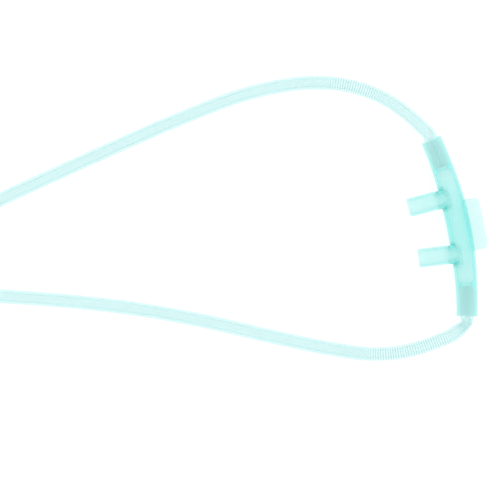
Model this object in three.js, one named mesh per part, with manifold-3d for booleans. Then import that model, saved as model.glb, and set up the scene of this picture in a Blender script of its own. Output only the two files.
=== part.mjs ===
// Nasal oxygen cannula: a soft moulded facepiece with two prongs, a pair of lead tubes held by a
// slider, a Y connector, and a supply tube wound into a tied coil with its end connector on top.
// Millimetres, +Z up. The whole cannula lies on the plane z = 0. The crossbar of the facepiece runs
// along Y, the prongs point to -X and the lip tab to +X. The origin is under the middle of the
// facepiece, at the middle of its bounding box.

import * as THREE from 'three';
import { mergeVertices } from 'three/addons/utils/BufferGeometryUtils.js';
import Module from 'manifold-3d';

const wasm = await Module();
wasm.setup();

// Facepiece sizes
const barLength = 54.6;          // along the curved axis, mouth to mouth
const barBend = 125;             // radius of the curved axis
const barRadius = 3.7;           // outside, at the middle
const mouthRadius = 3.15;        // outside, at each mouth
const barWall = 1.1;             // at the middle
const socketDepth = 9;
const stopLip = 0.7;             // how far the tube stop stands into the passage
const stopWidth = 1;
const passageTaper = 1.6;         // from the tube stop to where the passage has its full bore
const prongSpacing = 17.3;       // along the curved axis
const prongRadius = 2.8;
const prongWall = 0.8;
const prongReach = 13.7;         // from the bar's axis to the prong's end
const prongRise = 3;             // height of the prong's axis above the bar's axis
const prongStraight = 6.5;       // from the bar's axis to where the prong runs level
const prongFoot = 1.2;           // from the bar's axis to where the prong's axis starts
const prongLift = 0.45;          // share of the rise that pulls the prong upwards at its foot
const prongLevel = 0.65;         // share of the straight's start where it starts to level out
const tabReach = 8;              // from the bar's axis to the tab's edge
const tabLength = 15.8;
const tabThickness = 0.7;
const tabCorner = 1.7;
const tabRoot = 0.8;             // from the bar's axis to where the tab starts inside the bar

// Tubing and the clearance of every loose fit
const leadDiameter = 4.2;
const supplyDiameter = 5;
const fit = 0.3;
const layGap = 0.1;              // under a tube that lies on the plane

// Pair of leads: distance between the two axes where they run side by side
const pairGap = 0.4;
const pairPitch = leadDiameter + pairGap;

// Slider
const sliderLength = 10;
const sliderWall = 0.8;
const sliderX = -191;
const sliderLift = 0.2;          // underside above the plane

// Y connector
const yLength = 26;
const yWall = 0.9;
const yWeb = 0.8;                // wall between the two lead sockets
const yLeadDepth = 8;
const yOutletDepth = 9;
const yPassage = 1.4;            // radius of the passages
const yFlat = 12;                // length of the flat two-tube end
const yNeck = 17;                // where the body has become round

// Coil of supply tube, wound on a square pack of turns
const turnPitch = 5.1;           // from tube to tube, across and up
const turnsAcross = 3;
const turnsUp = 4;
const coilMeanRadius = 27;
const coilX = -259.5;
const coilY = 9.9;

// Ties round the coil and the pair of leads
const tieWidth = 6;
const tieThickness = 0.4;
const tieAngles = [75, 235];
const tieEase = 35;              // degrees over which the leads rise onto a tie

// End connector, lying on the coil with its mouth to +Y
const endLength = 40;
const endWall = 1;               // round the supply tube
const endSocketDepth = 11;
const endThroat = 2;             // radius
const endFunnelStart = 15;
const endFunnelRadius = 3.15;    // inside, where the funnel starts
const endMouthBore = 4.3;        // radius
const endMouthWall = 1.7;
const endX = 26.9;               // from the coil's centre
const endY = -8.5;               // tube end, from the coil's centre

// Worked out from the sizes above
const leadRadius = leadDiameter / 2;
const supplyRadius = supplyDiameter / 2;
const leadLay = leadRadius + layGap;
const leadBore = leadRadius + fit;
const supplyBore = supplyRadius + fit;
const halfBar = barLength / 2;
const socketStart = halfBar - socketDepth;
const barHeight = barRadius;
const barSteps = 16;
const cutPast = 1;               // how far a cutter stands out of what it cuts
const prongHeight = barHeight + prongRise;
const prongAngle = prongSpacing / 2 / barBend;
const sliderHeight = sliderLift + sliderWall + leadBore;
const yPitch = 2 * leadBore + yWeb;
const yLeadRadius = leadBore + yWall;
const yOutletRadius = supplyBore + yWall;
const yHeight = yOutletRadius;
const coilBase = tieThickness + fit;
const coilInner = coilMeanRadius - turnsAcross * turnPitch / 2;
const coilOuter = coilMeanRadius + turnsAcross * turnPitch / 2;
const coilTop = coilBase + turnsUp * turnPitch;
const loopRadius = coilOuter + 2 * fit + leadRadius + pairPitch / 2;
const endMouthRadius = endMouthBore + endMouthWall;
const endHeight = coilTop + fit + endMouthRadius;

const material = {
  facepiece: new THREE.MeshStandardMaterial({ color: 0x9fefe4, roughness: 0.3, metalness: 0 }),
  lead: new THREE.MeshStandardMaterial({ color: 0xd6f4f3, roughness: 0.25, metalness: 0 }),
  supply: new THREE.MeshStandardMaterial({ color: 0xd3f2f1, roughness: 0.25, metalness: 0 }),
  fitting: new THREE.MeshStandardMaterial({ color: 0xcfeef0, roughness: 0.35, metalness: 0 }),
  tie: new THREE.MeshStandardMaterial({ color: 0xf4f4f0, roughness: 0.8, metalness: 0 }),
};

// Solids: a closed geometry becomes a solid that can be joined and cut

function solid(geometry) {
  const bare = geometry.clone();
  bare.deleteAttribute('normal');
  bare.deleteAttribute('uv');
  const merged = mergeVertices(bare, 1e-5);
  const index = merged.index.array;
  const triangles = [];
  for (let i = 0; i < index.length; i += 3) {
    const [a, b, c] = [index[i], index[i + 1], index[i + 2]];
    if (a !== b && b !== c && c !== a) triangles.push(a, b, c);
  }
  return new wasm.Manifold(new wasm.Mesh({
    numProp: 3,
    vertProperties: merged.attributes.position.array,
    triVerts: new Uint32Array(triangles),
  }));
}

function geometryOf(body) {
  const mesh = body.getMesh();
  const geometry = new THREE.BufferGeometry();
  geometry.setAttribute('position', new THREE.BufferAttribute(mesh.vertProperties, 3));
  geometry.setIndex(new THREE.BufferAttribute(mesh.triVerts, 1));
  geometry.computeVertexNormals();
  return geometry;
}

// A turned body about the Y axis, from [radius, height] points that run upwards on the outside
function turned(profile, segments) {
  const points = profile.map(([radius, height]) => new THREE.Vector2(radius, height));
  return new THREE.LatheGeometry(points, segments);
}

// A solid rod of changing radius, from [radius, height] points without its ends on the axis
function rod(profile, segments) {
  const bottom = profile[0][1];
  const top = profile[profile.length - 1][1];
  return turned([[0, bottom], ...profile, [0, top]], segments);
}

function moveVertices(geometry, move) {
  const position = geometry.attributes.position;
  const point = new THREE.Vector3();
  for (let i = 0; i < position.count; i += 1) {
    point.fromBufferAttribute(position, i);
    move(point);
    position.setXYZ(i, point.x, point.y, point.z);
  }
  return geometry;
}

// Curves a straight body that lies along Y round the bar's centre of curvature
function bend(geometry) {
  return moveVertices(geometry, (point) => {
    const angle = point.y / barBend;
    const reach = barBend + point.x;
    point.x = reach * Math.cos(angle) - barBend;
    point.y = reach * Math.sin(angle);
  });
}

// Pulls the two halves of a turned body apart along X, which makes a flat-sided oval of it
function spread(geometry, halfPitch) {
  return moveVertices(geometry, (point) => {
    if (Math.abs(point.x) > 1e-6) point.x += Math.sign(point.x) * halfPitch(point.y);
  });
}

// A tube of round section along a path
function tube(path, radius, sides, steps) {
  const section = new THREE.Shape();
  section.absarc(0, 0, radius, 0, 2 * Math.PI, false);
  return new THREE.ExtrudeGeometry(section, {
    steps, curveSegments: sides / 2, bevelEnabled: false, extrudePath: path,
  });
}

function smoothPath(points) {
  const vectors = points.map(([x, y, z]) => new THREE.Vector3(x, y, z));
  return new THREE.CatmullRomCurve3(vectors, false, 'centripetal');
}

function roundedRectangle(x0, x1, y0, y1, corner) {
  const shape = new THREE.Shape();
  shape.moveTo(x0, y0);
  shape.lineTo(x1 - corner, y0);
  shape.absarc(x1 - corner, y0 + corner, corner, -Math.PI / 2, 0, false);
  shape.absarc(x1 - corner, y1 - corner, corner, 0, Math.PI / 2, false);
  shape.lineTo(x0, y1);
  shape.closePath();
  return shape;
}

// Facepiece: one soft moulding of crossbar, two bored prongs, two tube sockets and lip tab

function barOutline() {
  const profile = [];
  for (let i = 0; i <= barSteps; i += 1) {
    const along = -1 + 2 * i / barSteps;
    const fall = 0.5 - 0.5 * Math.cos(Math.PI * Math.min(1, Math.abs(along)));
    profile.push([barRadius - (barRadius - mouthRadius) * fall, along * halfBar]);
  }
  return profile;
}

function barPassage() {
  const bore = barRadius - barWall;
  const stop = leadBore - stopLip;
  const past = halfBar + cutPast;
  const taper = socketStart - passageTaper;
  return [
    [leadBore, -past], [leadBore, -socketStart], [stop, -socketStart], [stop, -socketStart + stopWidth],
    [bore, -taper], [bore, -taper / 2], [bore, 0], [bore, taper / 2], [bore, taper],
    [stop, socketStart - stopWidth], [stop, socketStart], [leadBore, socketStart], [leadBore, past],
  ];
}

function prongPath(end) {
  const path = new THREE.CurvePath();
  const foot = new THREE.Vector3(-prongFoot, 0, barHeight - prongFoot / 2);
  const rising = new THREE.Vector3(-2 * prongFoot, 0, barHeight + prongRise * prongLift);
  const levelling = new THREE.Vector3(-prongStraight * prongLevel, 0, prongHeight);
  const level = new THREE.Vector3(-prongStraight, 0, prongHeight);
  path.add(new THREE.CubicBezierCurve3(foot, rising, levelling, level));
  path.add(new THREE.LineCurve3(level, new THREE.Vector3(-end, 0, prongHeight)));
  return path;
}

function placeProng(geometry, side) {
  geometry.translate(barBend, 0, 0);
  geometry.rotateZ(side * prongAngle);
  geometry.translate(-barBend, 0, 0);
  return geometry;
}

function prongShell(side) {
  return solid(placeProng(tube(prongPath(prongReach), prongRadius, 24, 14), side));
}

function prongBore(side) {
  return solid(placeProng(tube(prongPath(prongReach + cutPast), prongRadius - prongWall, 20, 14), side));
}

function facepiece() {
  const bar = bend(rod(barOutline(), 32));
  const passage = bend(rod(barPassage(), 24));
  bar.translate(0, 0, barHeight);
  passage.translate(0, 0, barHeight);
  const tabOutline = roundedRectangle(tabRoot, tabReach, -tabLength / 2, tabLength / 2, tabCorner);
  const tab = new THREE.ExtrudeGeometry(tabOutline, {
    depth: tabThickness, curveSegments: 6, bevelEnabled: false,
  });
  let body = solid(bar).add(solid(tab)).add(prongShell(-1)).add(prongShell(1));
  body = body.subtract(solid(passage)).subtract(prongBore(-1)).subtract(prongBore(1));
  return geometryOf(body);
}

// Lead tubes: right on the +Y side, left on the -Y side, seen with the prongs pointing away

// Point on the bar's axis, at a distance along it
function onBar(along) {
  const angle = along / barBend;
  return [barBend * (Math.cos(angle) - 1), barBend * Math.sin(angle), barHeight];
}

const rightRoute = [
  [-4.9, 31.2, 3.6], [-7.4, 34.8, 3.3], [-11.4, 39.6, 2.8], [-16.8, 44.2, 2.3], [-25.1, 48.6, 2.2],
  [-33.9, 51.0, 2.2], [-42.9, 51.9, 2.2], [-56.7, 51.3, 2.2], [-75.7, 47.8, 2.2],
  [-94.9, 43.4, 2.2], [-114.1, 38.7, 2.2], [-133.4, 33.8, 2.2], [-146.0, 30.2, 2.2],
  [-158.0, 25.4, 2.6], [-168.0, 21.4, 3.1],
];
const leftRoute = [
  [-5.9, -30.6, 3.7], [-8.8, -31.9, 3.5], [-12.3, -32.6, 3.1], [-18.0, -33.5, 2.6],
  [-24.9, -33.8, 2.2], [-33.8, -32.5, 2.2], [-44.6, -28.9, 2.2], [-61.6, -21.8, 2.2],
  [-78.5, -14.3, 2.2], [-95.5, -7.6, 2.2], [-112.8, -1.9, 2.2], [-130.2, 3.0, 2.2],
  [-147.0, 7.4, 2.2], [-159.0, 11.2, 2.7], [-169.0, 13.7, 3.2],
];

// Straight run of the pair through the slider, then the bend towards the coil
const runY = 17;
const runStart = -176;
const turnRadius = 22;

// Loop of the pair round the coil, in degrees from +X, where the right lead steps over the left
const loopEnd = 243;
const crossStart = 120;
const crossEnd = 185;
const wideAngle = 255;           // where the pair has opened to the connector's sockets

// Where the Y connector lies beside the coil
const yTangentAngle = 275;       // where its axis comes nearest to the coil's centre
const yTangentAlong = 5;         // distance of that point from the lead end
const yDistance = coilOuter + 2 * fit + yPitch / 2 + yLeadRadius;

const degrees = Math.PI / 180;
const loopStart = Math.asin((runY + turnRadius - coilY) / (loopRadius + turnRadius)) / degrees;
const turnAngle = 90 - loopStart;
const runEnd = coilX + (loopRadius + turnRadius) * Math.cos(loopStart * degrees);

function ease(value) {
  const t = Math.min(1, Math.max(0, value));
  return t * t * (3 - 2 * t);
}

function aroundCoil(radius, angle, height) {
  const turn = angle * degrees;
  return [coilX + radius * Math.cos(turn), coilY + radius * Math.sin(turn), height];
}

// Point of the Y connector's own frame, along its axis from the lead end and across it
function onY(along, across) {
  const heading = (yTangentAngle + 90) * degrees;
  const [x, y] = aroundCoil(yDistance + across, yTangentAngle, 0);
  const forward = along - yTangentAlong;
  return [x + forward * Math.cos(heading), y + forward * Math.sin(heading), yHeight];
}

// side is 1 for the right lead, which starts on the outside of the loop, and -1 for the left
function pairRoute(side) {
  const points = [];
  for (const x of [runStart, (runStart + runEnd) / 2, runEnd]) {
    points.push([x, runY + side * pairPitch / 2, sliderHeight]);
  }
  for (const share of [0.25, 0.5, 0.75]) {
    const turn = share * turnAngle * degrees;
    const radius = turnRadius - side * pairPitch / 2;
    const height = sliderHeight + (leadLay - sliderHeight) * ease(share);
    points.push([runEnd - radius * Math.sin(turn), runY + turnRadius - radius * Math.cos(turn), height]);
  }
  const loopSteps = 20;
  for (let i = 0; i <= loopSteps; i += 1) {
    const angle = loopStart + (loopEnd - loopStart) * i / loopSteps;
    const crossing = Math.PI * ease((angle - crossStart) / (crossEnd - crossStart));
    let height = leadLay;
    for (const tie of tieAngles) {
      height += coilBase * (1 - ease(Math.abs(angle - tie) / tieEase));
    }
    if (side > 0) height += pairPitch * Math.sin(crossing);
    points.push(aroundCoil(loopRadius + side * pairPitch / 2 * Math.cos(crossing), angle, height));
  }
  const across = -side * yPitch / 2;
  const widening = coilOuter + 2 * fit + leadRadius + yPitch / 2;
  points.push(aroundCoil(widening + across, wideAngle, leadLay + coilBase));
  for (const along of [-5, 0, yLeadDepth / 2, yLeadDepth - fit]) points.push(onY(along, across));
  return points;
}

function leadTube(side, route) {
  const socket = [socketStart + fit, halfBar - socketDepth / 2, halfBar, halfBar + 2];
  const points = [...socket.map((along) => onBar(side * along)), ...route, ...pairRoute(side)];
  return tube(smoothPath(points), leadRadius, 10, 78);
}

// Slider: a moulded oval sleeve on both leads

function slider() {
  const half = sliderLength / 2;
  const rim = 0.4;
  const outside = leadBore + sliderWall;
  const pull = () => pairPitch / 2;
  const outer = spread(rod([
    [outside - rim, -half], [outside, -half + rim], [outside, half - rim], [outside - rim, half],
  ], 24), pull);
  const past = half + cutPast;
  const inner = spread(rod([[leadBore, -past], [leadBore, past]], 24), pull);
  return geometryOf(solid(outer).subtract(solid(inner)));
}

// Y connector: flat where it takes the two leads, round where it takes the supply tube

function yConnector() {
  const rim = 0.4;
  const narrow = (height) => yPitch / 2 * (1 - ease((height - yFlat) / (yNeck - yFlat)));
  const outline = [[yLeadRadius - rim, 0], [yLeadRadius, rim]];
  const steps = 6;
  for (let i = 0; i <= steps; i += 1) {
    const height = yFlat + (yNeck - yFlat) * i / steps;
    outline.push([yLeadRadius + (yOutletRadius - yLeadRadius) * ease(i / steps), height]);
  }
  outline.push([yOutletRadius, yLength - rim], [yOutletRadius - rim, yLength]);
  const body = solid(spread(rod(outline, 24), narrow));
  const passage = [[yPassage, yLeadDepth - cutPast]];
  for (let i = 0; i <= steps; i += 1) passage.push([yPassage, yFlat + (yNeck - yFlat) * i / steps]);
  passage.push([yPassage, yLength - yOutletDepth + cutPast]);
  const joined = solid(spread(rod(passage, 20), narrow));
  const outlet = solid(rod([[supplyBore, yLength - yOutletDepth], [supplyBore, yLength + cutPast]], 24));
  const leads = [-1, 1].map((side) => {
    const socket = rod([[leadBore, -cutPast], [leadBore, yLeadDepth]], 24);
    socket.translate(side * yPitch / 2, 0, 0);
    return solid(socket);
  });
  return geometryOf(body.subtract(joined).subtract(outlet).subtract(leads[0]).subtract(leads[1]));
}

// Supply tube: from the Y connector to the coil, the coil, and from the coil to its end connector

// Points from the coil's centre: [x, y, height]
const supplyRoute = [
  [29.6, -37.9, 3.5], [34.9, -34.4, 3.1], [38.6, -28.8, 2.7], [39.9, -22.0, 2.6],
  [39.4, -15.0, 2.7], [37.8, -8.2, 2.9], [36.9, -4.6, 3.1],
];
const tailRoute = [[20.4, -24.0, 24.4], [24.7, -18.0, 26.2]];

function fromCoil([x, y, height]) {
  return [coilX + x, coilY + y, height];
}

function supplyTube() {
  const points = [onY(yLength - yOutletDepth + fit, 0), onY(yLength - yOutletDepth / 2, 0)];
  points.push(onY(yLength, 0), ...supplyRoute.map(fromCoil));
  return tube(smoothPath(points), supplyRadius, 12, 20);
}

function supplyCoil() {
  const corner = turnPitch / 2;
  const cut = corner * (1 - Math.SQRT1_2);
  return turned([
    [coilInner + corner, coilBase], [coilOuter - corner, coilBase], [coilOuter - cut, coilBase + cut],
    [coilOuter, coilBase + corner], [coilOuter, coilTop - corner], [coilOuter - cut, coilTop - cut],
    [coilOuter - corner, coilTop], [coilInner + corner, coilTop], [coilInner + cut, coilTop - cut],
    [coilInner, coilTop - corner], [coilInner, coilBase + corner], [coilInner + cut, coilBase + cut],
    [coilInner + corner, coilBase],
  ], 48);
}

function supplyTail() {
  const points = [
    ...tailRoute.map(fromCoil),
    fromCoil([endX, endY, endHeight]),
    fromCoil([endX, endY + endSocketDepth / 2, endHeight]),
    fromCoil([endX, endY + endSocketDepth - fit, endHeight]),
  ];
  return tube(smoothPath(points), supplyRadius, 12, 10);
}

// Ties: a paper band round the coil and the pair of leads, in the plane of radius and height

function tieOutline(gap) {
  const shape = new THREE.Shape();
  const inner = coilInner - 2 * fit - gap;
  const outer = loopRadius + pairPitch / 2 + leadRadius + fit + gap;
  const low = tieThickness - gap;
  shape.moveTo(inner, low);
  shape.lineTo(outer, low);
  shape.lineTo(outer, leadDiameter + 2 * coilBase + gap);
  shape.lineTo(coilOuter + fit + gap / 2, coilTop + fit + gap);
  shape.lineTo(inner, coilTop + fit + gap);
  shape.closePath();
  return shape;
}

function coilTie() {
  const band = tieOutline(tieThickness);
  band.holes.push(tieOutline(0));
  const geometry = new THREE.ExtrudeGeometry(band, { depth: tieWidth, steps: 1, bevelEnabled: false });
  geometry.translate(0, 0, -tieWidth / 2);
  geometry.rotateX(Math.PI / 2);
  return geometry;
}

// End connector: a soft funnel that pushes over a barbed outlet, with grip rings outside

function endConnector() {
  const tubeRadius = supplyBore + endWall;
  const gripStart = 17;
  const gripPitch = 3;
  const gripCount = 6;
  const gripDepth = 0.4;
  const outside = [[supplyBore + fit, 0], [tubeRadius, fit], [tubeRadius, endSocketDepth + 1]];
  const slope = (endMouthRadius - tubeRadius) / (endLength - endSocketDepth - 1);
  const radiusAt = (along) => tubeRadius + slope * (along - endSocketDepth - 1);
  for (let i = 0; i < gripCount; i += 1) {
    const along = gripStart + i * gripPitch;
    outside.push([radiusAt(along), along], [radiusAt(along) - gripDepth, along + gripPitch / 4]);
    outside.push([radiusAt(along + gripPitch / 2) - gripDepth, along + gripPitch / 2]);
    outside.push([radiusAt(along + gripPitch * 0.75), along + gripPitch * 0.75]);
  }
  outside.push([endMouthRadius, endLength - fit], [endMouthRadius - fit, endLength]);
  const inside = [
    [endMouthBore, endLength], [endFunnelRadius, endFunnelStart], [endThroat, endFunnelStart],
    [endThroat, endSocketDepth], [supplyBore, endSocketDepth], [supplyBore, 0],
  ];
  return turned([...outside, ...inside, outside[0]], 24);
}

// Assembly

const cannula = new THREE.Group();

function add(parent, name, geometry, finish) {
  const mesh = new THREE.Mesh(geometry, finish);
  mesh.name = name;
  parent.add(mesh);
  return mesh;
}

const moulding = facepiece();
moulding.computeBoundingBox();
const middle = moulding.boundingBox.getCenter(new THREE.Vector3());
const laid = new THREE.Group();
laid.position.set(-middle.x, 0, 0);
cannula.add(laid);

add(laid, 'facepiece', moulding, material.facepiece);
add(laid, 'lead_tube_right', leadTube(1, rightRoute), material.lead);
add(laid, 'lead_tube_left', leadTube(-1, leftRoute), material.lead);

const sleeve = add(laid, 'slider', slider(), material.fitting);
sleeve.rotation.set(0, 0, Math.PI / 2);
sleeve.position.set(sliderX, runY, sliderHeight);

const wye = add(laid, 'y_connector', yConnector(), material.fitting);
wye.position.set(...onY(0, 0));
wye.rotation.set(0, 0, yTangentAngle * degrees);

add(laid, 'supply_tube', supplyTube(), material.supply);
const coil = new THREE.Group();
coil.position.set(coilX, coilY, 0);
laid.add(coil);
const ring = add(coil, 'supply_coil', supplyCoil(), material.supply);
ring.rotation.set(Math.PI / 2, 0, 0);
ring.position.z = 0;
add(laid, 'supply_tube_tail', supplyTail(), material.supply);
tieAngles.forEach((angle, i) => {
  const tie = add(coil, `coil_tie_${i + 1}`, coilTie(), material.tie);
  tie.rotation.set(0, 0, angle * degrees);
});

const funnel = add(coil, 'end_connector', endConnector(), material.fitting);
funnel.position.set(endX, endY, endHeight);

export default cannula;
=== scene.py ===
# Nasal oxygen cannula on a white light table, seen from nearly straight above.
# Lengths are in metres. The crossbar of the facepiece runs along Y, its prongs point to -X, and the
# whole cannula lies on z = 0.

import math

import bmesh
import bpy
from mathutils import Euler, Matrix, Vector


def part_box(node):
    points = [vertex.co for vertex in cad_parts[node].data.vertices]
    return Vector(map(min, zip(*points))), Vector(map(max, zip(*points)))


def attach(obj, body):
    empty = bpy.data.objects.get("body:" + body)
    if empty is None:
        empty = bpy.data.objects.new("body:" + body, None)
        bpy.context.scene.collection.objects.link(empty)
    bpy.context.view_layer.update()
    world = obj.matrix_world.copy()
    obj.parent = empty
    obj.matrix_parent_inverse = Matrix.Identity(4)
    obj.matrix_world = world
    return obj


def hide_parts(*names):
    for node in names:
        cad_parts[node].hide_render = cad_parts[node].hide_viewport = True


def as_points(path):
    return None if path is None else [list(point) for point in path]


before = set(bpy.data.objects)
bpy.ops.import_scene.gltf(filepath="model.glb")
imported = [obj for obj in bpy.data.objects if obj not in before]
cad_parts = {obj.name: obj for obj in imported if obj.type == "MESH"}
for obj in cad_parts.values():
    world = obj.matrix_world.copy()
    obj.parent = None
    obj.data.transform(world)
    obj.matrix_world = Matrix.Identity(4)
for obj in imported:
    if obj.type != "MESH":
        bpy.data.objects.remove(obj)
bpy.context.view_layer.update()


# Camera
# It looks down, tipped a few degrees towards +Y, and is turned so that the crossbar leans a little
# to the left in the picture. The picture is 150 mm wide on the table, between the two leads.

VIEW_WIDTH = 0.150
VIEW_LEAN = math.radians(10.87)
VIEW_TIP = math.radians(7)
VIEW_X, VIEW_Y = -0.05947, 0.0050
VIEW_HEIGHT = 0.75

camera = bpy.data.objects.new("camera", bpy.data.cameras.new("camera"))
bpy.context.scene.collection.objects.link(camera)
camera.data.sensor_width = 36
camera.data.lens = 36 * VIEW_HEIGHT / VIEW_WIDTH
view_turn = Euler((VIEW_TIP, 0, -VIEW_LEAN), "XYZ").to_matrix()
camera.location = Vector((VIEW_X, VIEW_Y, 0)) + view_turn @ Vector((0, 0, VIEW_HEIGHT))
camera.rotation_euler = view_turn.to_euler()
camera.data.clip_start = 0.01
bpy.context.scene.camera = camera


# Lead tubes
# Two lengths of soft PVC tube, extruded with a star-shaped lumen that keeps the tube open when it
# is bent. The last stretch before the facepiece is finely ribbed, so that it bends round the cheek.

LEAD_DIAMETER = 0.0042
STAR_POINTS = 5
LUMEN_RADIUS = 0.00125
STAR_DEPTH = 0.00022
LUMEN_TWIST = 22                 # radians in each metre of tube
PRESSED_LUMEN = 0.0002           # drawn nearly closed where the tube is glued into a socket
SECTION_SIDES = 40
LINE_STEP = 0.001
RING_STEP = 0.0012               # from one cross-section to the next where the tube is smooth
RINGS_PER_RIB = 5
HEADING_REACH = 0.0004           # the line's direction is taken over this length each way
SPLINE_CUTS = 24
RIB_PITCH = 0.00075
RIB_DEPTH = 0.0001
# painted shade across the ribs: darker in the rib grooves, clearer on the crests
RIB_SHADE = 0.11
RIB_FADE = 0.006                 # the ribs grow out of the smooth tube over this length
PVC_IOR = 1.53
# haze added to the skin for each unit of painted shade
SHADE_AND_HAZE_CLOUD = 0.6
FLOW_SIZE = 0.006                # waviness of the soft surface
FLOW_DEPTH = 0.000004
KINK_SQUEEZE = 0.24              # how much narrower a tube is where it is bent sharply
KINK_REACH = 0.0035
# painted shade in the kink where a tube is bent sharply
KINK_SHADE = 0.3
PRESSED_SHADE = -0.22            # the skin loses its haze where it is pressed against a socket

BAR_LENGTH = 0.0546
BAR_BEND = 0.125
BAR_HEIGHT = 0.0037
SOCKET_DEPTH = 0.009
FIT = 0.0003
TAB_REACH = 0.008
SHIFT_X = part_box("facepiece")[1][0] - TAB_REACH

RIGHT_ROUTE = [
    (-0.0049, 0.0312, 0.0036), (-0.0074, 0.0348, 0.0033), (-0.0114, 0.0396, 0.0028),
    (-0.0168, 0.0442, 0.0023), (-0.0251, 0.0486, 0.0022), (-0.0339, 0.0510, 0.0022),
    (-0.0429, 0.0519, 0.0022), (-0.0567, 0.0513, 0.0022), (-0.0757, 0.0478, 0.0022),
    (-0.0949, 0.0434, 0.0022), (-0.1141, 0.0387, 0.0022), (-0.1334, 0.0338, 0.0022),
    (-0.1460, 0.0302, 0.0023), (-0.1580, 0.0254, 0.0026), (-0.1680, 0.0214, 0.0031),
]
LEFT_ROUTE = [
    (-0.0059, -0.0306, 0.0037), (-0.0088, -0.0319, 0.0035), (-0.0123, -0.0326, 0.0031),
    (-0.0180, -0.0335, 0.0026), (-0.0249, -0.0338, 0.0023), (-0.0338, -0.0325, 0.0022),
    (-0.0446, -0.0289, 0.0022), (-0.0616, -0.0218, 0.0022), (-0.0785, -0.0143, 0.0022),
    (-0.0955, -0.0076, 0.0022), (-0.1128, -0.0019, 0.0022), (-0.1302, 0.0030, 0.0022),
    (-0.1470, 0.0074, 0.0023), (-0.1590, 0.0112, 0.0027), (-0.1690, 0.0137, 0.0032),
]
PAIR_PITCH = 0.0046
RUN_Y, RUN_START = 0.017, -0.176
SLIDER_HEIGHT = 0.0034
TURN_RADIUS = 0.022
COIL_X, COIL_Y = -0.2595, 0.0099
COIL_BASE = 0.0007
COIL_MEAN, TURN_PITCH, TURNS_ACROSS = 0.027, 0.0051, 3
COIL_OUTER = COIL_MEAN + TURNS_ACROSS * TURN_PITCH / 2
LEAD_LAY = LEAD_DIAMETER / 2 + 0.0001
LOOP_RADIUS = COIL_OUTER + 2 * FIT + LEAD_DIAMETER / 2 + PAIR_PITCH / 2
ENTRY = math.asin((RUN_Y + TURN_RADIUS - COIL_Y) / (LOOP_RADIUS + TURN_RADIUS))
RUN_END = COIL_X + (LOOP_RADIUS + TURN_RADIUS) * math.cos(ENTRY)
TURN_ANGLE = math.pi / 2 - ENTRY
LOOP_START, LOOP_END, LOOP_STEPS = math.degrees(ENTRY), 243, 20
CROSS_START, CROSS_END = 120, 185
TIE_ANGLES, TIE_EASE = (75, 235), 35
WIDE_ANGLE = 255
Y_TANGENT_ANGLE, Y_TANGENT_ALONG = 275, 0.005
Y_LENGTH, Y_LEAD_DEPTH, Y_OUTLET_DEPTH = 0.026, 0.008, 0.009
Y_PITCH = 0.0056
Y_DISTANCE = COIL_OUTER + 2 * FIT + Y_PITCH / 2 + 0.0033
Y_HEIGHT = 0.0037


def ease(value):
    t = min(1.0, max(0.0, value))
    return t * t * (3 - 2 * t)


def on_bar(along):
    angle = along / BAR_BEND
    return (BAR_BEND * (math.cos(angle) - 1), BAR_BEND * math.sin(angle), BAR_HEIGHT)


def round_coil(radius, degrees, height):
    turn = math.radians(degrees)
    return (COIL_X + radius * math.cos(turn), COIL_Y + radius * math.sin(turn), height)


def on_y(along, across):
    heading = math.radians(Y_TANGENT_ANGLE + 90)
    x, y, _ = round_coil(Y_DISTANCE + across, Y_TANGENT_ANGLE, 0)
    forward = along - Y_TANGENT_ALONG
    return (x + forward * math.cos(heading), y + forward * math.sin(heading), Y_HEIGHT)


def pair_route(side):
    """The unseen part of a lead; side is 1 for the right one and -1 for the left one."""
    points = []
    for x in (RUN_START, (RUN_START + RUN_END) / 2, RUN_END):
        points.append((x, RUN_Y + side * PAIR_PITCH / 2, SLIDER_HEIGHT))
    for share in (0.25, 0.5, 0.75):
        turn = share * TURN_ANGLE
        radius = TURN_RADIUS - side * PAIR_PITCH / 2
        height = SLIDER_HEIGHT + (LEAD_LAY - SLIDER_HEIGHT) * ease(share)
        x = RUN_END - radius * math.sin(turn)
        points.append((x, RUN_Y + TURN_RADIUS - radius * math.cos(turn), height))
    for i in range(LOOP_STEPS + 1):
        angle = LOOP_START + (LOOP_END - LOOP_START) * i / LOOP_STEPS
        crossing = math.pi * ease((angle - CROSS_START) / (CROSS_END - CROSS_START))
        height = LEAD_LAY
        for tie in TIE_ANGLES:
            height += COIL_BASE * (1 - ease(abs(angle - tie) / TIE_EASE))
        if side > 0:
            height += PAIR_PITCH * math.sin(crossing)
        radius = LOOP_RADIUS + side * PAIR_PITCH / 2 * math.cos(crossing)
        points.append(round_coil(radius, angle, height))
    across = -side * Y_PITCH / 2
    widening = COIL_OUTER + 2 * FIT + LEAD_DIAMETER / 2 + Y_PITCH / 2
    points.append(round_coil(widening + across, WIDE_ANGLE, LEAD_LAY + COIL_BASE))
    for along in (-0.005, 0, Y_LEAD_DEPTH / 2, Y_LEAD_DEPTH - FIT):
        points.append(on_y(along, across))
    return points


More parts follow.
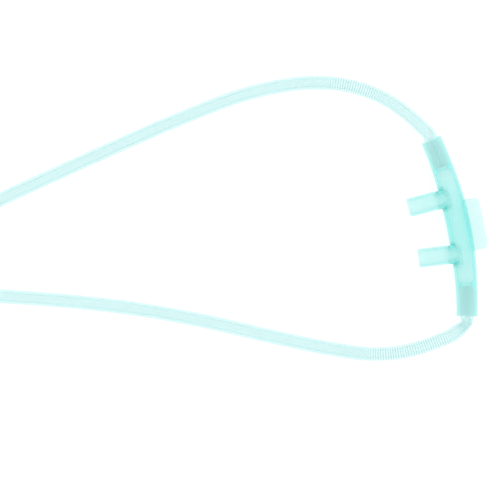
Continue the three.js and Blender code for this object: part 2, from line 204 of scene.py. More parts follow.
def smooth_line(points, step):
    """A centripetal spline through the points, cut into equal steps of about the given length."""
    knots = [Vector(p) + Vector((SHIFT_X, 0, 0)) for p in points]
    knots = [2 * knots[0] - knots[1], *knots, 2 * knots[-1] - knots[-2]]
    dense = []
    for a, b, c, d in zip(knots, knots[1:], knots[2:], knots[3:]):
        t1 = (b - a).length ** 0.5
        t2 = t1 + (c - b).length ** 0.5
        t3 = t2 + (d - c).length ** 0.5
        for k in range(SPLINE_CUTS):
            t = t1 + (t2 - t1) * k / SPLINE_CUTS
            ab = a.lerp(b, t / t1)
            bc = b.lerp(c, (t - t1) / (t2 - t1))
            cd = c.lerp(d, (t - t2) / (t3 - t2))
            abc = ab.lerp(bc, t / t2)
            bcd = bc.lerp(cd, (t - t1) / (t3 - t1))
            dense.append(abc.lerp(bcd, (t - t1) / (t2 - t1)))
    dense.append(knots[-2])
    lengths = [0.0]
    for p, q in zip(dense, dense[1:]):
        lengths.append(lengths[-1] + (q - p).length)
    count = max(2, round(lengths[-1] / step))
    line, k = [], 0
    for i in range(count + 1):
        goal = lengths[-1] * i / count
        while k < len(lengths) - 2 and lengths[k + 1] < goal:
            k += 1
        share = (goal - lengths[k]) / (lengths[k + 1] - lengths[k])
        line.append(dense[k].lerp(dense[k + 1], share))
    return line, lengths[-1]


def new_piece(name, bm):
    mesh = bpy.data.meshes.new(name)
    bm.to_mesh(mesh)
    bm.free()
    piece = bpy.data.objects.new(name, mesh)
    bpy.context.scene.collection.objects.link(piece)
    return piece


def line_at(line, step, along):
    place = min(max(along / step, 0.0), len(line) - 1.0)
    k = min(int(place), len(line) - 2)
    return line[k].lerp(line[k + 1], place - k)


def tube_mesh(name, line, length, stations, outside, inside, sides, shade_and_haze_at):
    """Sweeps a wall between outside(along, turn) and inside(along, turn) through the stations.

    The last function gives, along the tube, the painted shade of its surface in the rib grooves and in a
    sharp kink, from 0 to 1; below 0 it clears the skin's haze."""
    step = length / (len(line) - 1)
    bm = bmesh.new()
    uv = bm.loops.layers.uv.new("tube")
    painted_shade_and_haze = bm.verts.layers.float.new("painted_shade_and_haze")
    normal = None
    rings = []
    for along in stations:
        here = line_at(line, step, along)
        ahead = line_at(line, step, min(along + HEADING_REACH, length))
        behind = line_at(line, step, max(along - HEADING_REACH, 0.0))
        heading = (ahead - behind).normalized()
        if normal is None:
            normal = Vector((0, 0, 1))
        normal = (normal - heading * normal.dot(heading)).normalized()
        side = heading.cross(normal)
        walls = []
        for radius in (outside, inside):
            ring = []
            for i in range(sides):
                turn = 2 * math.pi * i / sides
                r = radius(along, turn)
                spoke = side * math.cos(turn) + normal * math.sin(turn)
                vert = bm.verts.new(here + spoke * r)
                vert[painted_shade_and_haze] = shade_and_haze_at(along)
                ring.append(vert)
            walls.append(ring)
        rings.append((along, walls))
    for (a0, first), (a1, second) in zip(rings, rings[1:]):
        for wall, (ring0, ring1) in enumerate(zip(first, second)):
            for i in range(sides):
                j = (i + 1) % sides
                loop = (ring0[i], ring0[j], ring1[j], ring1[i])
                marks = ((i, a0), (i + 1, a0), (i + 1, a1), (i, a1))
                if wall:
                    loop, marks = loop[::-1], marks[::-1]
                face = bm.faces.new(loop)
                face.smooth = True
                for corner, (turn, along) in zip(face.loops, marks):
                    corner[uv].uv = (turn / sides, along)
    for end, (along, (outer, inner)) in ((0, rings[0]), (1, rings[-1])):
        for i in range(sides):
            j = (i + 1) % sides
            loop = (outer[j], outer[i], inner[i], inner[j])
            bm.faces.new(loop if end == 0 else loop[::-1])
    bmesh.ops.recalc_face_normals(bm, faces=bm.faces)
    return new_piece(name, bm)


def star_lumen(along, turn):
    return LUMEN_RADIUS + STAR_DEPTH * math.cos(STAR_POINTS * (turn + LUMEN_TWIST * along))


def lead_tube(name, side, route, ribs, kink):
    half_bar = BAR_LENGTH / 2
    sockets = (half_bar - SOCKET_DEPTH + FIT, half_bar - SOCKET_DEPTH / 2, half_bar, half_bar + 0.002)
    points = [on_bar(side * along) for along in sockets] + route + pair_route(side)
    line, length = smooth_line(points, LINE_STEP)
    rib_start, rib_end = ribs
    stations, along = [], 0.0
    while along < length:
        stations.append(along)
        along += RIB_PITCH / RINGS_PER_RIB if rib_start <= along < rib_end else RING_STEP
    stations.append(length)

    def squeeze(along, turn):
        if kink is None:
            return 1.0
        narrow = 1 - KINK_SQUEEZE * (1 - ease(abs(along - kink) / KINK_REACH))
        return math.hypot(narrow * math.cos(turn), math.sin(turn))

    def rib_height(along):
        return ease((along - rib_start) / RIB_FADE) * ease((rib_end - along) / RIB_FADE)

    def rib_wave(along):
        return rib_height(along) * math.cos(2 * math.pi * (along - rib_start) / RIB_PITCH)

    def outside(along, turn):
        sunk = RIB_DEPTH * (rib_height(along) + rib_wave(along)) / 2
        return (LEAD_DIAMETER / 2 - sunk) * squeeze(along, turn)

    # Painted shade in the kink and in the rib grooves; inside the socket the pressed skin is cleared of
    # haze.
    def shade_and_haze_at(along):
        if along < SOCKET_DEPTH:
            return PRESSED_SHADE
        painted_kink_shade = 0.0 if kink is None else KINK_SHADE * (1 - ease(abs(along - kink) / KINK_REACH))
        return painted_kink_shade + RIB_SHADE * rib_wave(along)

    def inside(along, turn):
        if along < SOCKET_DEPTH - FIT:
            return PRESSED_LUMEN
        return star_lumen(along, turn) * squeeze(along, turn)

    tube = tube_mesh(name, line, length, stations, outside, inside, SECTION_SIDES, shade_and_haze_at)
    return tube, line


def linear(code):
    """Turns an sRGB hex colour into the linear values that a shader takes."""
    shares = [int(code[i:i + 2], 16) / 255 for i in (0, 2, 4)]
    return [c / 12.92 if c <= 0.04045 else ((c + 0.055) / 1.055) ** 2.4 for c in shares] + [1.0]


def add_node(tree, kind, inputs, **settings):
    """Adds a node with its settings; an input is a value or the output that feeds it."""
    node = tree.nodes.new(kind)
    for name, value in settings.items():
        setattr(node, name, value)
    for name, value in inputs.items():
        if isinstance(value, bpy.types.NodeSocket):
            tree.links.new(value, node.inputs[name])
        else:
            node.inputs[name].default_value = value
    return node


FIRST_COLOUR, SECOND_COLOUR = 6, 7  # a Mix node's colour inputs, whose names repeat


def soft_pvc(name, tint, density, roughness, cloud, milk, painted_shade_colour):
    """Plasticised PVC: clear, with a slightly cloudy skin and a tint that deepens with the wall.

    cloud is the share of light that the skin scatters, and milk the colour that it scatters. The last
    colour is painted shade:
    where a vertex attribute marks rib grooves, sharp kinks and prong-root fillets, the skin is blended
    towards it and made hazier, and where that attribute is below 0 the haze is cleared."""
    material = bpy.data.materials.new(name)
    material.use_nodes = True
    tree = material.node_tree
    tree.nodes.clear()
    place = add_node(tree, "ShaderNodeTexCoord", {})
    flow = add_node(tree, "ShaderNodeTexNoise", {
        "Vector": place.outputs["Object"], "Scale": 1 / FLOW_SIZE, "Detail": 2.0, "Roughness": 0.5,
    })
    relief = add_node(tree, "ShaderNodeBump", {
        "Height": flow.outputs["Fac"], "Distance": FLOW_DEPTH, "Strength": 1.0,
    })
    # Painted shade: a vertex attribute blends the skin towards the last colour and thickens its haze;
    # negative values clear the haze.
    painted_shade_and_haze = add_node(tree, "ShaderNodeAttribute", {}, attribute_name="painted_shade_and_haze")
    skin = add_node(tree, "ShaderNodeMix", {
        "Factor": painted_shade_and_haze.outputs["Fac"], FIRST_COLOUR: linear(milk), SECOND_COLOUR: linear(painted_shade_colour),
    }, data_type="RGBA")
    cover = add_node(tree, "ShaderNodeMapRange", {
        "Value": painted_shade_and_haze.outputs["Fac"], "To Min": cloud, "To Max": cloud + SHADE_AND_HAZE_CLOUD,
    }, clamp=False)
    surface = add_node(tree, "ShaderNodeBsdfPrincipled", {
        "Base Color": skin.outputs[2], "Roughness": roughness, "IOR": PVC_IOR,
        "Alpha": cover.outputs["Result"], "Normal": relief.outputs["Normal"],
    })
    depth = add_node(tree, "ShaderNodeVolumeAbsorption", {"Color": linear(tint), "Density": density})
    add_node(tree, "ShaderNodeOutputMaterial", {
        "Surface": surface.outputs["BSDF"], "Volume": depth.outputs["Volume"],
    })
    return material


lead_right, right_line = lead_tube("lead_right", 1, RIGHT_ROUTE, (0.0126, 0.0476), None)
lead_left, left_line = lead_tube("lead_left", -1, LEFT_ROUTE, (0.0146, 0.0450), 0.0117)

# Extruded clear PVC with a trace of green: nearly colourless, a little darker along both edges; its darker
# last colour is painted shade for the rib grooves and the kink.
tubing_pvc = soft_pvc("extruded clear pvc", "4BEEEE", 95, 0.25, 0.15, "C8EBEA", "A4DEDC")
for tube in (lead_right, lead_left):
    tube.data.materials.append(tubing_pvc)


# Supply tube
# One length of wider star-lumen tube: from the Y connector it runs to the coil, is wound there in
# four layers, and rises to the end connector that lies on the coil.

SUPPLY_DIAMETER = 0.005
SUPPLY_LUMEN = 0.0016
SUPPLY_STAR = 0.00028
SUPPLY_RINGS, SUPPLY_SIDES = 800, 30
TURN_IN = [
    (0.0296, -0.0379, 0.0035), (0.0349, -0.0344, 0.0031), (0.0386, -0.0288, 0.0027),
    (0.0399, -0.0220, 0.0026), (0.0394, -0.0150, 0.0027), (0.0378, -0.0082, 0.0029),
    (0.0369, -0.0046, 0.0031), (0.0334, 0.0069, 0.0032), (0.0287, 0.0157, 0.0032),
]
TURN_OUT = [
    (0.0028, -0.0320, 0.0193), (0.0110, -0.0300, 0.0212), (0.0172, -0.0265, 0.0232),
    (0.0204, -0.0240, 0.0244), (0.0247, -0.0180, 0.0262),
]
COIL_START = 43
RISE = 0.539
COIL_LAYERS = ((2, -1), (RISE, 0), (2, 1), (RISE, 0), (2, -1), (RISE, 0), (2, 1))
END_X, END_Y, END_HEIGHT = 0.0269, -0.0085, 0.0274
END_SOCKET_DEPTH = 0.011


def coil_points():
    radius = COIL_OUTER - TURN_PITCH / 2
    height = COIL_BASE + TURN_PITCH / 2
    turned = COIL_START / 360
    points = []
    for turns, inward in COIL_LAYERS:
        steps = round(turns * 16)
        for i in range(steps):
            share = i / steps
            rise = 0 if inward else TURN_PITCH * ease(share)
            reach = radius + inward * TURN_PITCH * turns * share
            points.append(round_coil(reach, 360 * (turned + turns * share), height + rise))
        radius += inward * TURN_PITCH * turns
        height += 0 if inward else TURN_PITCH
        turned += turns
    points.append(round_coil(radius, 360 * turned, height))
    return points


def from_coil(point):
    return (COIL_X + point[0], COIL_Y + point[1], point[2])


supply_points = [on_y(Y_LENGTH - Y_OUTLET_DEPTH + FIT, 0), on_y(Y_LENGTH - Y_OUTLET_DEPTH / 2, 0)]
supply_points += [on_y(Y_LENGTH, 0)] + [from_coil(p) for p in TURN_IN] + coil_points()
supply_points += [from_coil(p) for p in TURN_OUT]
for inserted in (0, END_SOCKET_DEPTH / 2, END_SOCKET_DEPTH - FIT):
    supply_points.append(from_coil((END_X, END_Y + inserted, END_HEIGHT)))
supply_line, supply_length = smooth_line(supply_points, 2 * LINE_STEP)
supply_stations = [supply_length * i / SUPPLY_RINGS for i in range(SUPPLY_RINGS + 1)]


def supply_outside(along, turn):
    return SUPPLY_DIAMETER / 2


def supply_inside(along, turn):
    return SUPPLY_LUMEN + SUPPLY_STAR * math.cos(STAR_POINTS * (turn + LUMEN_TWIST * along))


# The supply tube gets no painted shade.
def supply_shade_and_haze_at(along):
    return 0.0


supply = tube_mesh(
    "supply", supply_line, supply_length, supply_stations, supply_outside, supply_inside,
    SUPPLY_SIDES, supply_shade_and_haze_at,
)
supply.data.materials.append(tubing_pvc)

for tube, node in ((lead_right, "lead_tube_right"), (lead_left, "lead_tube_left")):
    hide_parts(node)
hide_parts("supply_tube", "supply_coil", "supply_tube_tail")
for tube in (lead_right, lead_left, supply):
    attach(tube, "cannula")


# Facepiece
# One soft moulding of teal PVC: a hollow curved crossbar with a socket for a lead at each end, two
# bored prongs and a thin lip tab. It is moulded in one shot, so every joint has a small fillet.

BAR_RADIUS, MOUTH_RADIUS, BAR_WALL = 0.0037, 0.00315, 0.0011
STOP_LIP, STOP_WIDTH, PASSAGE_TAPER = 0.0007, 0.001, 0.0016
PRONG_ANGLE = 0.0173 / 2 / BAR_BEND
PRONG_RADIUS, PRONG_REACH, PRONG_RISE = 0.0028, 0.0137, 0.003
PRONG_ROOT_WALL, PRONG_TIP_WALL = 0.0009, 0.0006
PRONG_STRAIGHT, PRONG_FOOT, PRONG_LIFT, PRONG_LEVEL = 0.0065, 0.0012, 0.45, 0.65
TAB_LENGTH, TAB_THICKNESS, TAB_CORNER, TAB_ROOT = 0.0158, 0.0007, 0.0017, 0.0008
TAB_WEB, TAB_WEB_HEIGHT = 0.0034, 0.0016
CUT_PAST = 0.001
FILLET_GRAIN = 0.22              # millimetres
FILLET_ROUNDS = 10
WORK_SCALE = 1000                # the moulding is shaped in millimetres
SHARP_ANGLE = 0.6                # radians; a larger angle between two faces stays an edge


def ring_place(centre, heading):
    """Where a ring stands: its Z axis points along the body."""
    along = Vector(heading).normalized()
    side = Vector((0, 0, 1)).cross(along).normalized()
    turn = Matrix((side, along.cross(side), along)).transposed().to_4x4()
    return Matrix.Translation(centre) @ turn


def swept(bm, places, radii, sides):
    """Extrudes a capped circle from place to place."""
    edges = []
    for i, (place, radius) in enumerate(zip(places, radii)):
        goal = place @ Matrix.Diagonal((radius, radius, radius, 1))
        if i == 0:
            verts = bmesh.ops.create_circle(bm, cap_ends=True, segments=sides, radius=1)["verts"]
            edges = list({edge for vert in verts for edge in vert.link_edges})
            bmesh.ops.transform(bm, matrix=goal, verts=verts)
        else:
            made = bmesh.ops.extrude_edge_only(bm, edges=edges)["geom"]
            verts = [part for part in made if isinstance(part, bmesh.types.BMVert)]
            edges = [part for part in made if isinstance(part, bmesh.types.BMEdge)]
            bmesh.ops.transform(bm, matrix=goal @ last.inverted(), verts=verts)
        last = goal
    bmesh.ops.contextual_create(bm, geom=edges)


def bar_places(stations):
    places = []
    for along in stations:
        angle = along / BAR_BEND
        heading = (-math.sin(angle), math.cos(angle), 0)
        places.append(ring_place(on_bar(along), heading))
    return places


def prong_line(reach):
    foot = Vector((-PRONG_FOOT, 0, BAR_HEIGHT - PRONG_FOOT / 2))
    rising = Vector((-2 * PRONG_FOOT, 0, BAR_HEIGHT + PRONG_RISE * PRONG_LIFT))
    levelling = Vector((-PRONG_STRAIGHT * PRONG_LEVEL, 0, BAR_HEIGHT + PRONG_RISE))
    level = Vector((-PRONG_STRAIGHT, 0, BAR_HEIGHT + PRONG_RISE))
    line = []
    for i in range(15):
        t = i / 14
        a, b, c = foot.lerp(rising, t), rising.lerp(levelling, t), levelling.lerp(level, t)
        line.append(a.lerp(b, t).lerp(b.lerp(c, t), t))
    end = Vector((-reach, 0, BAR_HEIGHT + PRONG_RISE))
    return line + [level.lerp(end, share) for share in (0.25, 0.5, 0.75, 1)]


def prong(bm, side, reach, root_radius, tip_radius):
    line = prong_line(reach)
    hub = Matrix.Translation((-BAR_BEND, 0, 0))
    swing = hub @ Matrix.Rotation(side * PRONG_ANGLE, 4, "Z") @ hub.inverted()
    places = []
    for i, point in enumerate(line):
        heading = line[min(i + 1, len(line) - 1)] - line[max(i - 1, 0)]
        places.append(swing @ ring_place(point, heading))
    radii = [root_radius + (tip_radius - root_radius) * i / (len(line) - 1) for i in range(len(line))]
    swept(bm, places, radii, 48)


def bar_body(bm):
    half = BAR_LENGTH / 2
    stations = [half * (i / 24 - 1) for i in range(49)]
    radii = []
    for along in stations:
        fall = 0.5 - 0.5 * math.cos(math.pi * abs(along) / half)
        radii.append(BAR_RADIUS - (BAR_RADIUS - MOUTH_RADIUS) * fall)
    swept(bm, bar_places(stations), radii, 64)


def bar_passage(bm):
    half = BAR_LENGTH / 2
    start, wide, bore = half - SOCKET_DEPTH, LEAD_DIAMETER / 2 + FIT, BAR_RADIUS - BAR_WALL
    end = [(half + CUT_PAST, wide), (half * 0.8, wide), (start, wide), (start, wide - STOP_LIP)]
    end += [(start - STOP_WIDTH, wide - STOP_LIP), (start - PASSAGE_TAPER, bore)]
    middle = [((start - PASSAGE_TAPER) * share, bore) for share in (-0.75, -0.5, -0.25, 0, 0.25, 0.5, 0.75)]
    steps = [(-along, radius) for along, radius in end] + middle + end[::-1]
    swept(bm, bar_places([along for along, radius in steps]), [radius for along, radius in steps], 48)


def plate(bm, start, end, width, height):
    verts = bmesh.ops.create_cube(bm, size=1)["verts"]
    bmesh.ops.scale(bm, vec=(end - start, width, height), verts=verts)
    middle = Vector(((start + end) / 2, 0, height / 2))
    bmesh.ops.translate(bm, vec=middle, verts=verts)
    return verts, middle


def lip_tab(bm):
    plate(bm, TAB_ROOT, TAB_WEB, TAB_LENGTH, TAB_WEB_HEIGHT)
    verts, middle = plate(bm, TAB_ROOT, TAB_REACH, TAB_LENGTH, TAB_THICKNESS)
    corners = [
        edge for edge in {edge for vert in verts for edge in vert.link_edges}
        if all(vert.co.x > middle.x for vert in edge.verts)
        and abs(edge.verts[0].co.z - edge.verts[1].co.z) > TAB_THICKNESS / 2
    ]
    bmesh.ops.bevel(
        bm, geom=corners, offset=TAB_CORNER, affect="EDGES", segments=8, profile=0.5, material=-1,
    )


def enlarged(name, *shapes):
    """A working piece in millimetres, made of the shapes given as function and arguments."""
    bm = bmesh.new()
    for shape, *values in shapes:
        shape(bm, *values)
    bmesh.ops.recalc_face_normals(bm, faces=bm.faces)
    bmesh.ops.scale(bm, vec=(WORK_SCALE,) * 3, verts=bm.verts)
    return new_piece(name, bm)


def cut_out(body, cutters):
    """Cuts the cutters out of the body, all in millimetres, and returns the result in metres."""
    for cutter in cutters:
        cut = body.modifiers.new("cut", "BOOLEAN")
        cut.operation = "DIFFERENCE"
        cut.solver = "EXACT"
        cut.object = cutter
    bpy.context.view_layer.update()
    shaped = body.evaluated_get(bpy.context.evaluated_depsgraph_get())
    bm = bmesh.new()
    bm.from_mesh(shaped.data)
    bmesh.ops.scale(bm, vec=(1 / WORK_SCALE,) * 3, verts=bm.verts)
    for piece in (body, *cutters):
        bpy.data.objects.remove(piece)
    return bm


# how far the painted shade spreads round each prong root
FILLET_SHADE_SPREAD = 0.0008


def off_axis(point):
    """Distance of a point from the curved axis of the crossbar."""
    return math.hypot(math.hypot(point.x + BAR_BEND, point.y) - BAR_BEND, point.z - BAR_HEIGHT)


def painted_fillet_shade(point):
    """Painted shade at the fillet at the foot of a prong: how near a point of the facepiece lies to that
    fillet, from 0 to 1, weighted towards the prong's sides.
    """
    off_bar = off_axis(point)
    share = 0.0
    for side in (1, -1):
        hub = Matrix.Translation((-BAR_BEND, 0, 0))
        local = hub @ Matrix.Rotation(-side * PRONG_ANGLE, 4, "Z") @ hub.inverted() @ point
        if local.x > 0:
            continue
        axis = min(prong_line(PRONG_REACH), key=lambda place: abs(place.x - local.x))
        off_prong = math.hypot(local.y, local.z - axis.z)
        near = math.hypot(off_bar - BAR_RADIUS, off_prong - PRONG_RADIUS) / FILLET_SHADE_SPREAD
        flank = 0.25 + 0.75 * min(1.0, abs(local.y) / PRONG_RADIUS) ** 2
        share = max(share, flank * math.exp(-near * near / 2))
    return share


def moulding():
    body = enlarged(
        "moulding", (bar_body,), (lip_tab,), (prong, 1, PRONG_REACH, PRONG_RADIUS, PRONG_RADIUS),
        (prong, -1, PRONG_REACH, PRONG_RADIUS, PRONG_RADIUS),
    )
    blend = body.modifiers.new("one skin", "REMESH")
    blend.mode = "VOXEL"
    blend.voxel_size = FILLET_GRAIN
    soften = body.modifiers.new("fillets", "SMOOTH")
    soften.factor = 0.5
    soften.iterations = FILLET_ROUNDS
    cutters = [enlarged("passage", (bar_passage,))]
    bore = (PRONG_RADIUS - PRONG_ROOT_WALL, PRONG_RADIUS - PRONG_TIP_WALL)
    for side in (1, -1):
        cutters.append(enlarged("bore", (prong, side, PRONG_REACH + CUT_PAST, *bore)))
    bm = cut_out(body, cutters)
    painted_shade_and_haze = bm.verts.layers.float.new("painted_shade_and_haze")
    socket_start = BAR_LENGTH / 2 - SOCKET_DEPTH - FIT
    socket_wall = LEAD_DIAMETER / 2 + 2 * FIT
    # Painted shade darkens the prong-root fillets; the socket walls, where the tubes are pressed, are
    # cleared of haze.
    for vert in bm.verts:
        along = BAR_BEND * math.asin(min(1.0, abs(vert.co.y) / BAR_BEND))
        if along < BAR_LENGTH / 4:
            vert[painted_shade_and_haze] = painted_fillet_shade(vert.co)
        elif along > socket_start and off_axis(vert.co) < socket_wall:
            vert[painted_shade_and_haze] = PRESSED_SHADE
    bmesh.ops.translate(bm, vec=(SHIFT_X, 0, 0), verts=bm.verts)
    for face in bm.faces:
        face.smooth = True
    for edge in bm.edges:
        edge.smooth = edge.calc_face_angle(0) < SHARP_ANGLE
    return new_piece("soft_facepiece", bm)


soft_facepiece = moulding()
# Moulded PVC, dyed through with teal: the walls seen edge on are darker through the tint's absorption, and
# the thin tab is pale; the dark teal last colour is painted shade for the prong-root fillets.
facepiece_pvc = soft_pvc("moulded teal pvc", "2CF3EE", 205, 0.3, 0.145, "C0EEEC", "1EC6BC")
soft_facepiece.data.materials.append(facepiece_pvc)
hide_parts("facepiece")
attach(soft_facepiece, "cannula")


# Slider
# A short oval sleeve, injection moulded in clear PVC, that grips both leads by friction and is pushed
# along them under the chin. Shallow rings round its middle give the fingers a hold.

SLIDER_X, SLIDER_LENGTH, SLIDER_WALL = -0.191, 0.010, 0.0008
SLEEVE_RIM = 0.0004
GRIP_RINGS, GRIP_PITCH, GRIP_DEPTH = 5, 0.0012, 0.00018


def turned(bm, profile, steps):
    """Spins a closed outline of (radius, height) points into a solid ring about the Z axis."""
    verts = [bm.verts.new((radius, 0, height)) for radius, height in profile]
    edges = [bm.edges.new((a, b)) for a, b in zip(verts, verts[1:] + verts[:1])]
    bmesh.ops.spin(
        bm, geom=verts + edges, axis=(0, 0, 1), cent=(0, 0, 0), steps=steps,
        angle=2 * math.pi, use_merge=True,
    )
    bmesh.ops.remove_doubles(bm, verts=bm.verts, dist=1e-7)
    bmesh.ops.recalc_face_normals(bm, faces=bm.faces)


def grip_rings(radius, middle, count, pitch, depth):
    """Outline points of shallow grooves round a sleeve, from low to high."""
    points = []
    for i in range(count):
        low = middle + (i - count / 2) * pitch
        for share, sunk in ((0.15, 0), (0.4, depth), (0.7, depth), (0.95, 0)):
            points.append((radius(low + share * pitch) - sunk, low + share * pitch))
    return points


def finished(name, bm, place):
    """Puts a piece in its place, rounds its shading and keeps its sharp edges."""
    bmesh.ops.transform(bm, matrix=Matrix.Translation((SHIFT_X, 0, 0)) @ place, verts=bm.verts)
    for face in bm.faces:
        face.smooth = True
    for edge in bm.edges:
        edge.smooth = edge.calc_face_angle(0) < SHARP_ANGLE
    return new_piece(name, bm)


def sleeve(bm):
    half, bore = SLIDER_LENGTH / 2, LEAD_DIAMETER / 2 + FIT
    outer = bore + SLIDER_WALL
    profile = [(outer - SLEEVE_RIM, -half), (outer, -half + SLEEVE_RIM)]
    profile += grip_rings(lambda height: outer, 0, GRIP_RINGS, GRIP_PITCH, GRIP_DEPTH)
    profile += [(outer, half - SLEEVE_RIM), (outer - SLEEVE_RIM, half)]
    profile += [(bore + FIT / 2, half), (bore, half - FIT), (bore, -half + FIT), (bore + FIT / 2, -half)]
    turned(bm, profile, 48)
    for vert in bm.verts:
        if abs(vert.co.x) > 1e-6:
            vert.co.x += math.copysign(PAIR_PITCH / 2, vert.co.x)


slider_bm = bmesh.new()
sleeve(slider_bm)
lying = Matrix.Rotation(math.radians(-90), 4, "X")
along_x = Matrix.Rotation(math.radians(90), 4, "Z") @ lying
slider_place = Matrix.Translation((SLIDER_X, RUN_Y, SLIDER_HEIGHT)) @ along_x
slider = finished("oval_slider", slider_bm, slider_place)
# Moulded PVC without dye: cloudier than the extruded tube, so the tubes inside show only faintly.
fitting_pvc = soft_pvc("moulded clear pvc", "4BF1F2", 120, 0.35, 0.3, "CCEFEE", "8ED8D4")
slider.data.materials.append(fitting_pvc)
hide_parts("slider")
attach(slider, "slider")


# Y connector
# One soft moulding that joins the two leads to the supply tube: flat where it takes the leads side
# by side, round where it takes the supply tube. The tubes are glued into their sockets.

Y_WALL, Y_PASSAGE, Y_FLAT, Y_NECK = 0.0009, 0.0014, 0.012, 0.017


def rod(bm, profile, steps, pull):
    """Spins (radius, height) points into a solid rod and pulls its halves apart along X."""
    ends = [(0, profile[0][1]), *profile, (0, profile[-1][1])]
    verts = [bm.verts.new((radius, 0, height)) for radius, height in ends]
    edges = [bm.edges.new((a, b)) for a, b in zip(verts, verts[1:])]
    bmesh.ops.spin(
        bm, geom=verts + edges, axis=(0, 0, 1), cent=(0, 0, 0), steps=steps,
        angle=2 * math.pi, use_merge=True,
    )
    bmesh.ops.remove_doubles(bm, verts=bm.verts, dist=1e-7)
    for vert in bm.verts:
        if abs(vert.co.x) > 1e-6:
            vert.co.x += math.copysign(pull(vert.co.z), vert.co.x)


def y_narrowing(height):
    return Y_PITCH / 2 * (1 - ease((height - Y_FLAT) / (Y_NECK - Y_FLAT)))


def y_body(bm):
    lead_end, outlet_end = LEAD_DIAMETER / 2 + FIT + Y_WALL, SUPPLY_DIAMETER / 2 + FIT + Y_WALL
    profile = [(lead_end - SLEEVE_RIM, 0), (lead_end - SLEEVE_RIM / 4, SLEEVE_RIM / 4)]
    profile.append((lead_end, SLEEVE_RIM))
    for i in range(13):
        share = i / 12
        height = Y_FLAT + (Y_NECK - Y_FLAT) * share
        profile.append((lead_end + (outlet_end - lead_end) * ease(share), height))
    profile.append((outlet_end, Y_LENGTH - SLEEVE_RIM))
    profile.append((outlet_end - SLEEVE_RIM / 4, Y_LENGTH - SLEEVE_RIM / 4))
    profile.append((outlet_end - SLEEVE_RIM, Y_LENGTH))
    rod(bm, profile, 48, y_narrowing)


def y_passage(bm):
    heights = [Y_LEAD_DEPTH - CUT_PAST] + [Y_FLAT + (Y_NECK - Y_FLAT) * i / 8 for i in range(9)]
    heights.append(Y_LENGTH - Y_OUTLET_DEPTH + CUT_PAST)
    rod(bm, [(Y_PASSAGE, height) for height in heights], 32, y_narrowing)


def y_outlet(bm):
    bore = SUPPLY_DIAMETER / 2 + FIT
    rod(bm, [(bore, Y_LENGTH - Y_OUTLET_DEPTH), (bore, Y_LENGTH + CUT_PAST)], 48, lambda height: 0)


def y_socket(bm, side):
    bore = LEAD_DIAMETER / 2 + FIT
    rod(bm, [(bore, -CUT_PAST), (bore, Y_LEAD_DEPTH)], 48, lambda height: 0)
    bmesh.ops.translate(bm, vec=(side * Y_PITCH / 2, 0, 0), verts=bm.verts)


y_cutters = [enlarged("passage", (y_passage,)), enlarged("outlet", (y_outlet,))]
y_cutters += [enlarged("socket", (y_socket, side)) for side in (1, -1)]
y_bm = cut_out(enlarged("wye", (y_body,)), y_cutters)
y_turn = Matrix.Rotation(math.radians(Y_TANGENT_ANGLE), 4, "Z") @ lying
y_connector = finished("wye", y_bm, Matrix.Translation(on_y(0, 0)) @ y_turn)
y_connector.data.materials.append(fitting_pvc)
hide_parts("y_connector")
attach(y_connector, "cannula")

shift = Vector((SHIFT_X, 0, 0))
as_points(right_line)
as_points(left_line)


# End connector
# A soft PVC funnel, moulded onto the end of the supply tube, that is pushed over the barbed outlet of
# a flowmeter. Rings round its waist stop it slipping in the fingers.

END_LENGTH, END_WALL, END_THROAT = 0.040, 0.001, 0.002
FUNNEL_START, FUNNEL_RADIUS, MOUTH_BORE, MOUTH_WALL = 0.015, 0.00315, 0.0043, 0.0017
END_GRIPS, END_GRIP_START, END_GRIP_PITCH, END_GRIP_DEPTH = 6, 0.017, 0.003, 0.0004


def funnel(bm):
    bore = SUPPLY_DIAMETER / 2 + FIT
    neck, mouth = bore + END_WALL, MOUTH_BORE + MOUTH_WALL
    collar = END_SOCKET_DEPTH + CUT_PAST
    slope = (mouth - neck) / (END_LENGTH - collar)
    middle = END_GRIP_START + END_GRIPS * END_GRIP_PITCH / 2
    profile = [(bore + FIT, 0), (neck, FIT), (neck, collar)]
    profile += grip_rings(
        lambda height: neck + slope * (height - collar), middle, END_GRIPS, END_GRIP_PITCH,
        END_GRIP_DEPTH,
    )
    profile += [
        (mouth, END_LENGTH - 2 * FIT), (mouth - FIT / 2, END_LENGTH - FIT / 2),
        (mouth - 2 * FIT, END_LENGTH),
        (MOUTH_BORE + FIT, END_LENGTH), (MOUTH_BORE, END_LENGTH - FIT), (FUNNEL_RADIUS, FUNNEL_START),
        (END_THROAT, FUNNEL_START), (END_THROAT, END_SOCKET_DEPTH), (bore, END_SOCKET_DEPTH), (bore, 0),
    ]
    turned(bm, profile, 64)


funnel_bm = bmesh.new()
funnel(funnel_bm)
funnel_place = Matrix.Translation(from_coil((END_X, END_Y, END_HEIGHT))) @ lying
end_connector = finished("funnel_connector", funnel_bm, funnel_place)
end_connector.data.materials.append(fitting_pvc)
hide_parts("end_connector")
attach(end_connector, "cannula")


# Coil ties
# Two bands of white paper hold the coil and the pair of leads together for packing. Each is one strip,
# wrapped round once, and follows what it holds with rounded folds.

TIE_WIDTH, TIE_THICKNESS, TIE_FOLD = 0.006, 0.0004, 0.0016
TURNS_UP = 4


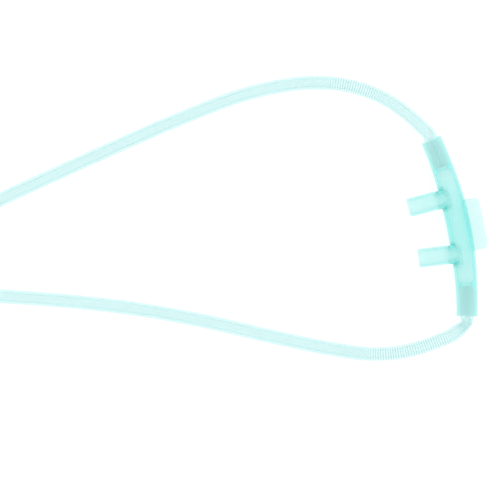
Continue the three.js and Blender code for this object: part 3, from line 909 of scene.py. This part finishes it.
def tie(name, angle, node):
    inner = COIL_MEAN - TURNS_ACROSS * TURN_PITCH / 2 - 2 * FIT
    outer = LOOP_RADIUS + PAIR_PITCH / 2 + LEAD_DIAMETER / 2 + FIT
    top = COIL_BASE + TURNS_UP * TURN_PITCH + FIT
    corners = [
        (inner, TIE_THICKNESS), (outer, TIE_THICKNESS), (outer, LEAD_DIAMETER + 2 * COIL_BASE),
        (COIL_OUTER + FIT, top), (inner, top),
    ]
    bm = bmesh.new()
    face = bm.faces.new([bm.verts.new((reach, -TIE_WIDTH / 2, height)) for reach, height in corners])
    bmesh.ops.bevel(
        bm, geom=list(bm.verts), offset=TIE_FOLD, affect="VERTICES", segments=6, profile=0.5, material=-1,
    )
    rim = list(bm.edges)
    bmesh.ops.delete(bm, geom=list(bm.faces), context="FACES_ONLY")
    strip = bmesh.ops.extrude_edge_only(bm, edges=rim)["geom"]
    moved = [part for part in strip if isinstance(part, bmesh.types.BMVert)]
    bmesh.ops.translate(bm, vec=(0, TIE_WIDTH, 0), verts=moved)
    bmesh.ops.recalc_face_normals(bm, faces=bm.faces)
    bmesh.ops.solidify(bm, geom=list(bm.faces), thickness=-TIE_THICKNESS)
    bmesh.ops.recalc_face_normals(bm, faces=bm.faces)
    place = Matrix.Translation((COIL_X, COIL_Y, 0)) @ Matrix.Rotation(math.radians(angle), 4, "Z")
    band = finished(name, bm, place)
    band.data.materials.append(paper)
    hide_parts(node)
    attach(band, "cannula")
    return band


# Uncoated white paper: matt, with the faint mottle of its fibres.
FIBRE_SIZE = 0.0006
paper = bpy.data.materials.new("uncoated white paper")
paper.use_nodes = True
fibres = paper.node_tree
fibre_place = add_node(fibres, "ShaderNodeTexCoord", {})
mottle = add_node(fibres, "ShaderNodeTexNoise", {
    "Vector": fibre_place.outputs["Object"], "Scale": 1 / FIBRE_SIZE, "Detail": 4.0, "Roughness": 0.7,
})
pulp = add_node(fibres, "ShaderNodeMix", {
    "Factor": mottle.outputs["Fac"],
    FIRST_COLOUR: linear("E9E8E2"), SECOND_COLOUR: linear("FAFAF7"),
}, data_type="RGBA")
felt = add_node(fibres, "ShaderNodeBump", {"Height": mottle.outputs["Fac"], "Distance": 0.00005})
sheet = fibres.nodes["Principled BSDF"]
sheet.inputs["Roughness"].default_value = 0.85
fibres.links.new(pulp.outputs[2], sheet.inputs["Base Color"])
fibres.links.new(felt.outputs["Normal"], sheet.inputs["Normal"])

ties = [tie(f"paper_tie_{i + 1}", angle, f"coil_tie_{i + 1}") for i, angle in enumerate(TIE_ANGLES)]

Vector(on_y(Y_LENGTH, 0)) + shift
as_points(supply_line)


# Table and light
# A plain white light table, as clear plastic ware is often photographed on: opal acrylic that glows
# evenly from below, with one large soft source above it.

TABLE_GAP = 0.0004               # soft pieces touch the table only here and there
table_mesh = bpy.data.meshes.new("table")
table_bm = bmesh.new()
bmesh.ops.create_grid(table_bm, x_segments=1, y_segments=1, size=3)
bmesh.ops.translate(table_bm, vec=(0, 0, -TABLE_GAP), verts=table_bm.verts)
table_bm.to_mesh(table_mesh)
table_bm.free()
table_top = bpy.data.objects.new("table", table_mesh)
bpy.context.scene.collection.objects.link(table_top)

TABLE_GLOW = 0.73
opal_acrylic = bpy.data.materials.new("opal acrylic")
opal_acrylic.use_nodes = True
opal = opal_acrylic.node_tree.nodes["Principled BSDF"]
opal.inputs["Base Color"].default_value = linear("959595")
opal.inputs["Roughness"].default_value = 0.7
opal.inputs["Emission Color"].default_value = (1, 1, 1, 1)
opal.inputs["Emission Strength"].default_value = TABLE_GLOW
table_mesh.materials.append(opal_acrylic)

SKY_LOW, SKY_HIGH = 0.9, 1.25   # the soft light's strength at the horizon and overhead
world = bpy.data.worlds.new("studio")
bpy.context.scene.world = world
world.use_nodes = True
sky = world.node_tree
background = sky.nodes["Background"]
facing = add_node(sky, "ShaderNodeTexCoord", {})
split = add_node(sky, "ShaderNodeSeparateXYZ", {"Vector": facing.outputs["Generated"]})
strength = add_node(sky, "ShaderNodeMapRange", {
    "Value": split.outputs["Z"], "From Min": 0.0, "From Max": 1.0, "To Min": SKY_LOW, "To Max": SKY_HIGH,
})
sky.links.new(strength.outputs["Result"], background.inputs["Strength"])
background.inputs["Color"].default_value = (1, 1, 1, 1)
bpy.context.scene.view_settings.view_transform = "Standard"
